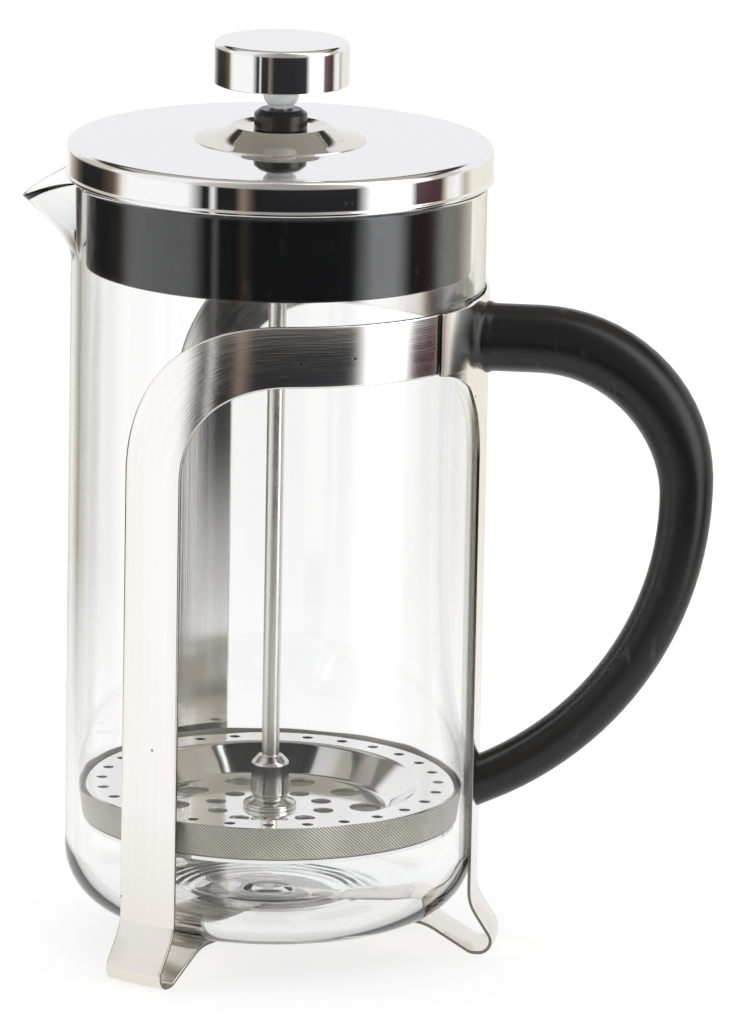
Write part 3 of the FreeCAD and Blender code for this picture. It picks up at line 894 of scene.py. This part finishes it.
@dataclass(frozen=True)
class Handle:
    """The round plastic grip, thick at the top and tapering to its lower end."""

    plastic: Material
    top_height: float = 148.6
    root: float = 49.15
    straight_end: float = 62.0
    upper_bend: float = 35.3
    lower_bend: float = 78.7
    thin: float = 11.4
    thick: float = 16.0

    def radius_at(self, turn: float) -> float:
        """The grip's radius after its centre line has turned through an angle in degrees."""
        return (self.thin + (self.thick - self.thin) / (1.0 + exp((turn - 74.0) / 15.0))) / 2.0

    def centre_at(self, turn: float) -> Vector:
        """Follow the grip's centre line.

        Args:
            turn: How far it has turned down from level, in degrees.

        Returns:
            Its point there.
        """
        across, bend = self.straight_end, self.upper_bend
        if turn > 90.0:
            across, bend = self.straight_end + self.upper_bend - self.lower_bend, self.lower_bend
        angle = radians(90.0 - turn)
        height = self.top_height - self.upper_bend + bend * sin(angle)
        return at(across + bend * cos(angle), 0.0, height)

    def stations(self) -> list[tuple[Vector, float, float]]:
        """Every section of the grip, from the band to its lower end."""
        sections = []
        start = self.radius_at(0.0)
        for reach, swell in ((self.root, 0.5), (50.3, 0.42), (50.9, 0.1), (51.6, 0.0), (56.0, 0.0)):
            sections.append((at(reach, 0.0, self.top_height), 0.0, (start + swell) * MM))
        turns = [5.0 * step for step in range(18)]
        turns += [90.0 + 2.6 * step for step in range(25)] + [153.6, 155.4]
        return sections + [(self.centre_at(turn), turn, self.radius_at(turn) * MM) for turn in turns]

    def seated_end(self, grip: Piece) -> None:
        """Carry the last section on along its heading until it lies flat against the strut.

        Args:
            grip: The grip.
        """
        centre, turn, _ = self.stations()[-1]
        heading = Vector((cos(radians(turn)), 0.0, -sin(radians(turn))))
        wall = AXIS_X + self.root * MM
        for vertex in grip.data.vertices:
            if abs((vertex.co - centre).dot(heading)) < 0.02 * MM:
                vertex.co += heading * ((wall - vertex.co.x) / heading.x)
        grip.data.update()

    def build(self) -> None:
        """Make the grip and fit it."""
        grip = lofted("handle_grip", self.stations(), 56)
        self.seated_end(grip)
        fitted(shade(grip, 40.0), self.plastic, Body.FRAME, "handle")


# --- the beaker


@dataclass(frozen=True)
class Beaker:
    """The glass beaker, with its raised floor, mould rings, rounded rim and drawn-out spout."""

    glass: Material
    wall: float = 2.4
    corner: float = 15.0
    floor: float = 3.4
    kick: float = 0.9
    spout_tip: float = 61.2
    spout_tip_height: float = 178.4
    spout_root_height: float = 166.6
    spout_angle: float = 22.0

    def outline(self) -> list[Vector]:
        """The beaker's section, from the middle of its underside round the rim to the middle of its floor."""
        outer, base, top = extent("beaker")
        inner = outer - self.wall
        inside = base + self.floor
        raised = base + self.kick
        corners = [
            (0.0, raised + 0.5), (3.4, raised + 0.5, 1.5), (5.4, raised - 0.1, 1.5), (15.0, raised, 12.0),
            (31.0, base, 12.0), (outer, base, self.corner), (outer, top, 1.1), (inner, top, 1.1),
            (inner, inside, self.corner - self.wall),
        ]
        for step in range(4):
            ring = 27.0 - 2.4 * step
            corners += [(ring + 0.7, inside + 0.05, 1.2), (ring - 0.7, inside - 0.02, 1.2)]
        corners += [
            (17.5, inside + 0.35, 6.0), (6.5, inside + 0.7, 1.5), (4.0, inside + 1.4, 1.5),
            (0.0, inside + 1.5),
        ]
        return self.with_rows(rounded(corners, closed=False, bend_step=3.5), top)

    def with_rows(self, outline: Sequence[Vector], top: float) -> list[Vector]:
        """Divide the two long walls into short rows near the rim, where the spout is drawn out.

        Args:
            outline: The section's points.
            top: The rim's height.

        Returns:
            The points with the rows between them.
        """
        rows = [40.0, 80.0, 120.0, 150.0] + [156.0 + 1.25 * step for step in range(22)]
        rows = [row for row in rows if row < top - 1.6]
        result = [outline[0]]
        for before, after in zip(outline, outline[1:]):
            if abs(after.x - before.x) < 1e-3 and abs(after.y - before.y) > 100.0:
                result += [Vector((before.x, row)) for row in (rows if after.y > before.y else rows[::-1])]
            result.append(after)
        return result

    def drawn_out(self, rim: float, body: float) -> Move:
        """The pull that draws the spout out of the rim.

        Args:
            rim: The rim's height in millimetres.
            body: The beaker's outer radius in millimetres.

        Returns:
            The move of a point from its radius, height and angle.
        """

        def move(radius: float, height: float, angle: float) -> Vector:
            """How far a point moves."""
            off = 180.0 - abs(angle)
            rise = (height - self.spout_root_height) / (rim - self.spout_root_height)
            if rise <= 0.0 or off >= self.spout_angle or radius < body - self.wall - 1.0:
                return Vector((0.0, 0.0, 0.0))
            near = max(0.0, 1.0 - (hypot(off, 4.0) - 4.0) / (self.spout_angle - 3.5))
            pull = (self.spout_tip - body) * near ** 1.15 * rise ** 0.85
            sink = (rim - self.spout_tip_height) * near ** 1.7 * rise ** 1.5
            return Vector(polar(radians(angle), pull, -sink))

        return move

    def build(self) -> None:
        """Make the beaker and fit it."""
        size = extent("beaker")
        vessel = turned("glass_beaker", self.outline(), 240)
        reshaped(vessel, self.drawn_out(size.top, size.radius))
        fitted(shade(vessel, 60.0), self.glass, Body.BEAKER, "beaker")


# --- the lid


@dataclass(frozen=True)
class Lid:
    """The drawn steel lid with its cone, the black plug below it and the bush in its middle."""

    steel: Material
    cone_steel: Material
    plug_plastic: Material
    bush_plastic: Material
    fastener: Material
    sheet: float = 0.6
    crown: float = 0.3
    top_edge: float = 1.7
    bead: float = 0.25
    cone_lip: float = 11.3
    sleeve: float = 45.2
    plug_wall: float = 2.0
    bush_shank: float = 5.0

    def shell(self) -> Piece:
        """The flat lid and its skirt, rolled into a small bead at the bottom."""
        wide, low, top = extent("lid_shell")
        outer = wide - self.bead
        inner = outer - self.sheet
        roll = low + 0.8
        bore = self.bush_shank + RUNNING_FIT
        foot = extent("lid_cone").radius - 1.0
        raised = top + self.crown
        outline = [
            (bore, raised), (foot, raised), (outer, top, self.top_edge), (outer, roll + 0.35, 0.5),
            (wide, roll - 0.05, 0.25), (wide, low, 0.38), (inner - 0.5, low, 0.38), (inner - 0.5, roll, 0.2),
            (inner, roll + 0.35, 0.3), (inner, top - self.sheet, self.top_edge - self.sheet),
            (foot, raised - self.sheet), (bore, raised - self.sheet),
        ]
        return turned("lid_cover", rounded(outline, bend_step=8.0), 200)

    def cone(self) -> Piece:
        """The low cone on the lid, hollow-sided outside and dished inside around the bush."""
        wide, low, top = extent("lid_cone")
        bore = self.bush_shank + RUNNING_FIT
        lip = self.cone_lip
        foot = low + self.crown - 0.01
        outline = [
            (wide, foot), (wide, foot + 0.16, 0.07), (14.6, foot + 1.3, 15.0), (lip, top, 0.45),
            (lip - 2.4, top - 0.75, 2.0), (bore, top - 1.0), (bore, top - 1.6), (lip - 0.5, top - 1.2, 0.3),
            (14.0, foot + 0.8, 14.0), (17.5, foot),
        ]
        return turned("lid_cone_cover", rounded(outline, bend_step=3.0), 160)

    def plug(self) -> Piece:
        """The black plug that fills the lid and reaches down inside the beaker."""
        wide, low, top = extent("lid_sleeve")
        under = top - 2.1
        skirt = extent("lid_shell").bottom + 0.02
        bore = self.bush_shank + RUNNING_FIT
        sleeve, inner = self.sleeve, self.sleeve - self.plug_wall
        outline = [
            (bore, top), (wide, top, 1.1), (wide, skirt, 0.2), (sleeve + 1.4, skirt, 0.2),
            (sleeve + 1.4, under, 0.3), (sleeve, under, 0.3), (sleeve, low, 0.75), (inner, low, 0.75),
            (inner, under, 1.5), (bore, under),
        ]
        return turned("lid_plug", rounded(outline, bend_step=10.0), 180)

    def bush(self) -> Piece:
        """The collar that guides the rod, chamfered on top."""
        wide, low, top = extent("lid_bush")
        bore = extent("plunger_rod").radius + RUNNING_FIT
        seat = extent("lid_cone").top - 0.99
        shank = self.bush_shank
        outline = [
            (bore, top - 0.5, 0.15), (bore + 0.5, top, 0.2), (wide - 1.35, top, 0.25),
            (wide, top - 1.05, 0.55), (wide, seat + 0.3, 0.25), (wide - 0.3, seat, 0.1), (shank, seat),
            (shank, low, 0.4), (bore, low, 0.2),
        ]
        return turned("lid_collar", rounded(outline), 96)

    def build(self) -> None:
        """Make and fit the lid's pieces."""
        fitted(self.shell(), self.steel, Body.LID, "lid_shell")
        fitted(self.cone(), self.cone_steel, Body.LID, "lid_cone")
        fitted(self.plug(), self.plug_plastic, Body.LID, "lid_sleeve")
        fitted(self.bush(), self.bush_plastic, Body.LID, "lid_bush")
        dressed(self.fastener, "bush_washer")
        dressed(self.bush_plastic, "bush_nut")


# --- the plunger and its filter


@dataclass(frozen=True)
class Plunger:
    """The rod, and the knob on top of it."""

    knob_steel: Material
    rod_steel: Material
    pale_plastic: Material
    brass: Material
    sheet: float = 0.6

    def rod(self) -> Piece:
        """The bright bar, with chamfered ends and the thread's run-out groove."""
        wide, low, top = extent("plunger_rod")
        groove = top - 8.4
        neck = wide - 0.25
        outline = [
            (0.0, low), (wide, low, 0.45), (wide, groove - 0.5, 0.1), (neck, groove - 0.3, 0.1),
            (neck, groove + 0.3, 0.1), (wide, groove + 0.5, 0.1), (wide, top, 0.45), (0.0, top),
        ]
        return turned("plunger_bar", rounded(outline, closed=False), 56)

    def knob(self) -> Piece:
        """The spun drum."""
        wide, low, top = extent("knob_shell")
        inner, under = wide - self.sheet, top - self.sheet
        outline = [
            (0.0, top), (wide, top, 1.3), (wide, low, 0.28), (inner, low, 0.2), (inner, under, 0.7),
            (0.0, under),
        ]
        return turned("knob_drum", rounded(outline, closed=False, bend_step=8.0), 144)

    def boss(self) -> Piece:
        """The pale cup below the knob."""
        wide, low, top = extent("knob_boss")
        bore = extent("plunger_rod").radius + RUNNING_FIT
        outline = [
            (bore, low, 0.15), (2.9, low, 0.3), (3.0, low + 0.75, 0.6), (3.9, low + 1.5, 1.6),
            (wide, top - 1.5, 3.0), (wide, top), (bore, top),
        ]
        return turned("knob_cup", rounded(outline, bend_step=8.0), 72)

    def build(self) -> None:
        """Make and fit the rod and the knob's pieces."""
        fitted(self.rod(), self.rod_steel, Body.PLUNGER, "plunger_rod")
        fitted(self.knob(), self.knob_steel, Body.KNOB, "knob_shell")
        fitted(self.boss(), self.pale_plastic, Body.KNOB, "knob_boss")
        dressed(self.pale_plastic, "knob_core")
        dressed(self.brass, "knob_insert")


@dataclass(frozen=True)
class HoleRing:
    """A ring of holes in the filter plate."""

    count: int
    pitch_radius: float
    hole_radius: float
    phase: float


@dataclass(frozen=True)
class Filter:
    """The plates, the woven mesh and the spring that slide in the beaker."""

    plate_steel: Material
    hub_steel: Material
    mesh_steel: Material
    fastener: Material
    sheet: float = 0.6
    mesh_sheet: float = 0.3
    spigot: float = 3.0
    recess: float = 35.5
    recess_floor: float = 28.4
    coil_wire: float = 0.28
    coil_turns: int = 64
    coil_steps: int = 12
    rings: tuple[HoleRing, ...] = (
        HoleRing(28, 40.1, 1.3, 6.4),
        HoleRing(10, 22.8, 3.8, 6.7),
        HoleRing(10, 13.2, 2.4, 28.0),
    )

    def plate(self) -> Piece:
        """The dished plate, turned and then pierced, with its holes' edges broken."""
        edge, floor, rim = extent("filter_plate")
        top = floor + self.sheet
        under = rim - self.sheet
        inner = edge - self.sheet
        bore = self.spigot + RUNNING_FIT
        slope = (self.recess - self.recess_floor) / (rim - top)
        lean = self.sheet * (hypot(1.0, slope) - slope)
        outline = [
            (bore, top), (self.recess_floor, top, 2.2), (self.recess, rim, 1.9), (edge, rim, 0.9),
            (edge, rim - 1.9, 0.15), (inner, rim - 1.9, 0.15), (inner, under, 0.35),
            (self.recess + lean, under, 1.3), (self.recess_floor + lean, floor, 2.8), (bore, floor),
        ]
        plate = turned("pierced_plate", rounded(outline, bend_step=9.0), 160)
        drills = []
        for ring in self.rings:
            for index in range(ring.count):
                bearing = radians(ring.phase + 360.0 * index / ring.count)
                where = at(*polar(bearing, ring.pitch_radius, (rim + floor) / 2.0))
                drills.append((where, ring.hole_radius * MM))
        drilled(plate, drills, 14.0 * MM, Vector((0.0, 0.0, 1.0)))
        return flat_faced(edges_broken(plate, 0.12, 60.0))

    def mesh(self) -> Piece:
        """The woven cloth, drawn up round the plate and slightly wavy along its edge."""
        wide, low, top = extent("filter_mesh")
        thick = self.mesh_sheet
        bore = self.spigot + RUNNING_FIT
        fold = extent("filter_plate").radius + 0.3
        outline = [
            (bore, low), (fold, low, 0.9), (wide, top), (wide - thick, top), (fold - thick, low + thick, 0.6),
            (bore, low + thick),
        ]
        cloth = turned("woven_cloth", self.with_wall_rows(rounded(outline, bend_step=15.0)), 200)

        def ruffle(radius: float, height: float, angle: float) -> Vector:
            """How far a point of the wavy wall moves."""
            rise = max(0.0, (height - low - 1.0) / (top - low))
            turn = radians(angle)
            wave = 0.16 * sin(9.0 * turn) + 0.1 * sin(23.0 * turn + 1.0)
            lift = 0.18 * sin(6.0 * turn + 2.0) + 0.1 * sin(17.0 * turn)
            return Vector(polar(turn, (wave - 0.1) * rise, lift * rise))

        reshaped(cloth, ruffle)
        return shade(cloth, 40.0)

    def with_wall_rows(self, outline: Sequence[Vector]) -> list[Vector]:
        """Divide the cloth's wall into rows, so that it can be wavy.

        Args:
            outline: The section's points.

        Returns:
            The points with the rows between them.
        """
        result = []
        for before, after in zip(outline, [*outline[1:], outline[0]]):
            result.append(before)
            if abs(after.y - before.y) > 4.0:
                result += [before.lerp(after, share) for share in (0.25, 0.5, 0.75)]
        return result

    def hub(self) -> Piece:
        """The hub that the rod screws into, with a flange that presses on the plate."""
        wide, low, top = extent("filter_hub")
        seat = extent("filter_plate").bottom + self.sheet + 0.01
        bore = extent("plunger_rod").radius + RUNNING_FIT
        outline = [
            (bore, top), (2.95, top, 0.35), (4.5, top - 1.6, 1.3), (4.5, seat + 3.4, 0.6),
            (4.15, seat + 2.9, 0.3), (4.15, seat + 2.3, 0.3), (4.9, seat + 1.75, 0.4),
            (wide, seat + 1.15, 0.5), (wide, seat, 0.15), (self.spigot, seat), (self.spigot, low, 0.35),
            (1.0, low, 0.2), (1.0, low + 1.8), (bore, low + 1.8),
        ]
        return turned("rod_hub", rounded(outline, bend_step=10.0), 96)

    def spring(self) -> Piece:
        """The coil spring that lies round under the plate's rim and presses the cloth outwards."""
        wide, low, top = extent("edge_coil")
        small = (top - low) / 2.0
        large = wide - small
        coil_radius = small - self.coil_wire
        deselect_all()
        bpy.ops.curve.primitive_bezier_circle_add(radius=large * MM)
        coil = bpy.context.object
        coil.name = "edge_spring"
        spline = coil.data.splines.new("POLY")
        count = self.coil_turns * self.coil_steps
        spline.points.add(count - 1)
        for index, knot in enumerate(spline.points):
            twist = TURN * index / self.coil_steps
            reach = large + coil_radius * cos(twist)
            height = (top + low) / 2.0 + coil_radius * sin(twist)
            knot.co = (*at(*polar(TURN * index / count, reach, height)), 1.0)
        spline.use_cyclic_u = True
        coil.data.splines.remove(coil.data.splines[0])
        coil.data.dimensions = "3D"
        coil.data.bevel_depth = self.coil_wire * MM
        coil.data.bevel_resolution = 1
        take_up(coil)
        bpy.ops.object.convert(target="MESH")
        return shade(bpy.context.object, 60.0)

    def build(self) -> None:
        """Make and fit the filter's pieces."""
        fitted(self.hub(), self.hub_steel, Body.FILTER, "filter_hub")
        fitted(self.plate(), self.plate_steel, Body.FILTER, "filter_plate")
        fitted(self.mesh(), self.mesh_steel, Body.FILTER, "filter_mesh")
        fitted(self.spring(), self.fastener, Body.FILTER, "edge_coil")
        dressed(self.plate_steel, "cross_plate")
        dressed(self.fastener, "clamp_nut")


# --- the studio


@dataclass(frozen=True)
class Studio:
    """A white studio: soft light all round, a pale floor and the camera."""

    camera_azimuth: float = -84.03
    camera_elevation: float = 13.54
    camera_distance: float = 2.029
    camera_roll: float = 1.083
    camera_lens: float = 301.9
    aim: tuple[float, float, float] = (22.0, 2.3, 104.5)
    floor_radius: float = 0.5
    room_light: float = 1.06
    floor_glow: float = 0.742

    def camera(self) -> None:
        """Stand the camera in front of the press, a little above it."""
        elevation = radians(self.camera_elevation)
        back = Vector(polar(radians(self.camera_azimuth), cos(elevation), sin(elevation)))
        data = bpy.data.cameras.new("camera")
        data.lens, data.sensor_width, data.clip_end = self.camera_lens, 36.0, 50.0
        stand = bpy.data.objects.new("camera", data)
        bpy.context.scene.collection.objects.link(stand)
        stand.location = at(*self.aim) + back * self.camera_distance
        stand.rotation_mode = "QUATERNION"
        roll = Quaternion((0.0, 0.0, 1.0), radians(self.camera_roll))
        stand.rotation_quaternion = (-back).to_track_quat("-Z", "Y") @ roll
        bpy.context.scene.camera = stand

    def floor(self) -> None:
        """Lay the pale round floor, which glows as the room does and leaves mirrors clear further out."""
        deselect_all()
        bpy.ops.mesh.primitive_circle_add(
            vertices=128, radius=self.floor_radius, fill_type="NGON", location=(0.0, 0.0, -0.0003)
        )
        disc = placed("floor")
        edit_all()
        bpy.ops.mesh.inset(thickness=0.02)
        bpy.ops.object.mode_set(mode="OBJECT")
        recipe = Recipe("pale_floor")
        paper = recipe.noise(recipe.place(), 400.0, 2.0)
        recipe.sets(
            Base_Color=recipe.blend(paper, (0.29, 0.29, 0.29), (0.31, 0.31, 0.31)),
            Roughness=0.8,
            Specular_IOR_Level=0.0,
            Emission_Color=(1.0, 1.0, 1.0),
            Emission_Strength=self.floor_glow,
        )
        mirrored = recipe.sum("GREATER_THAN", recipe.node("LightPath").outputs["Glossy Depth"], 0.5)
        away = recipe.spread(recipe.unrolled()[1], (0.16, 0.42), (0.0, 1.0))
        clear = recipe.node("BsdfTransparent").outputs[0]
        layers = {0: recipe.sum("MULTIPLY", mirrored, away), 1: recipe.shader.outputs[0], 2: clear}
        recipe.feed(recipe.output.inputs["Surface"], recipe.node("MixShader", layers).outputs[0])
        disc.data.materials.append(recipe.material)

    def light(self) -> None:
        """Light the press evenly from all round, and let polished steel see a dark room with pale panels."""
        world = bpy.data.worlds.new("studio")
        bpy.context.scene.world = world
        world.use_nodes = True
        world.node_tree.nodes.clear()
        sky = Nodes(world.node_tree)
        facing = {"Vector": sky.node("TexCoord").outputs["Generated"], "Angle": -radians(self.camera_azimuth)}
        away, side, up = sky.node(
            "SeparateXYZ", {0: sky.node("VectorRotate", facing, rotation_type="Z_AXIS").outputs[0]}
        ).outputs
        bearing = sky.spread(sky.sum("ARCTAN2", side, away), (-pi, pi), (0.0, 1.0))
        low, high = (sky.bands(bearing, stops) for stops in (self.low_bands(), self.high_bands()))
        room = sky.blend(sky.climb(up, -0.21, 0.0), low, high)
        beamed = sky.blend(sky.climb(up, 0.46, 0.56), room, (0.05, 0.045, 0.04))
        ceiling = sky.blend(sky.climb(up, 0.64, 0.72), beamed, (0.46, 0.43, 0.36))
        seen = sky.blend(sky.climb(away, 0.05, -0.25), room, ceiling)
        path = sky.node("LightPath").outputs
        after_mirror = sky.within(path["Glossy Depth"], 1.0, 30.0)
        inside_glass = sky.within(path["Transmission Depth"], 1.0, 3.0)
        off_level = sky.sum("ABSOLUTE", sky.sum("ADD", up, sin(radians(self.camera_elevation))))
        loss = sky.spread(off_level, (0.10, 0.28), (-0.05, -0.9))
        share = sky.sum("MULTIPLY", after_mirror, sky.sum("MULTIPLY_ADD", inside_glass, loss, 1.0))
        plain = {"Color": (1.0, 1.0, 1.0), "Strength": self.room_light}
        layers = [share, *(sky.node("Background", look).outputs[0] for look in (plain, {"Color": seen}))]
        both = sky.node("MixShader", dict(enumerate(layers)))
        sky.node("OutputWorld", {"Surface": both.outputs[0]})

    def low_bands(self) -> list[tuple[float, Colour]]:
        """What upright steel mirrors: the room at and below eye level, by bearing from the camera."""
        white, lamp = (1.0, 1.0, 1.0), (2.0, 2.0, 2.05)
        cream, olive = (0.88, 0.84, 0.74), (0.50, 0.47, 0.38)
        dark, ink = (0.012, 0.012, 0.013), (0.015, 0.016, 0.020)
        brown, sand, maroon = (0.10, 0.07, 0.055), (0.26, 0.19, 0.15), (0.07, 0.03, 0.035)
        return [
            (-180.0, cream), (-161.0, white), (-151.0, olive), (-138.0, brown), (-131.0, dark),
            (-112.0, dark), (-101.0, brown), (-98.0, sand), (-93.0, cream), (-88.0, white),
            (-50.0, white), (-41.0, dark), (-38.0, ink), (-35.5, white), (-33.0, dark), (-23.0, dark),
            (-19.0, sand), (-15.0, brown), (-12.0, dark), (43.0, ink), (50.0, white), (56.0, lamp),
            (70.0, lamp), (76.0, white), (80.0, maroon), (98.0, maroon), (104.0, cream), (112.0, white),
            (120.0, olive), (128.0, cream), (180.0, cream),
        ]

    def high_bands(self) -> list[tuple[float, Colour]]:
        """What level and sloping steel mirrors: the room above eye level."""
        white, lamp = (0.90, 0.90, 0.92), (2.6, 2.6, 2.7)
        dark, warm = (0.34, 0.32, 0.30), (0.60, 0.56, 0.49)
        return [
            (-180.0, white), (-142.0, white), (-128.0, warm), (-104.0, warm), (-98.0, white), (-52.0, white),
            (-44.0, warm), (-10.0, dark), (20.0, dark), (46.0, warm), (54.0, lamp), (80.0, lamp),
            (92.0, warm), (108.0, warm), (120.0, white), (180.0, white),
        ]

    def build(self) -> None:
        """Set up the camera, the floor and the light."""
        bpy.context.scene.view_settings.view_transform = "Standard"
        self.camera()
        self.floor()
        self.light()


def main() -> None:
    """Build the studio and every piece of the press."""
    logging.basicConfig(level=logging.INFO, format="%(name)s: %(message)s")
    # The third colour is a painted reflection, darker and olive, towards the feet.
    strap_steel = StrapSteel(
        "strap_steel", (0.97, 0.96, 0.94), (0.87, 0.85, 0.81), (0.80, 0.75, 0.67), (0.20, 0.19, 0.15)
    ).make()
    lid_steel = MirrorSteel("lid_steel", (0.93, 0.93, 0.935), 0.03, 0.00004).make()
    cone_steel = MirrorSteel("cone_steel", (0.80, 0.77, 0.70), 0.04, 0.00012, 70.0).make()
    plate_steel = MirrorSteel("plate_steel", (0.90, 0.895, 0.88), 0.06, 0.00005, 90.0).make()
    rod_steel = MirrorSteel("rod_steel", (0.92, 0.90, 0.85), 0.22, 0.00003, 120.0).make()
    hub_steel = MirrorSteel("hub_steel", (0.70, 0.68, 0.65), 0.13, 0.00006, 160.0).make()
    fastener = PlainMetal("fastener_steel", (0.62, 0.61, 0.59), 0.3).make()
    brass = PlainMetal("turned_brass", (0.78, 0.60, 0.30), 0.28).make()
    # The second colour is painted shade between the wires.
    wire = WovenWire("woven_wire", (0.86, 0.82, 0.74), (0.30, 0.28, 0.23)).make()
    grip_plastic = MouldedPlastic("grip_plastic", (0.004, 0.004, 0.005), 0.29, 0.000006, 0.2, 0.44).make()
    plug_plastic = MouldedPlastic("plug_plastic", (0.008, 0.008, 0.009), 0.15, 0.000003, 0.12, 0.28).make()
    bush_plastic = MouldedPlastic("collar_plastic", (0.012, 0.012, 0.013), 0.24, 0.000005, 0.2).make()
    milky = MilkyPlastic("milky_plastic", (0.86, 0.86, 0.87)).make()
    glass = BeakerGlass("beaker_glass", (0.62, 0.72, 0.64), 11.0).make()

    Studio().build()
    StrapFrame(strap_steel, fastener).build()
    Handle(grip_plastic).build()
    Lid(lid_steel, cone_steel, plug_plastic, bush_plastic, fastener).build()
    Plunger(lid_steel, rod_steel, milky, brass).build()
    Filter(plate_steel, hub_steel, wire, fastener).build()
    Beaker(glass).build()


if __name__ == "__main__":
    main()
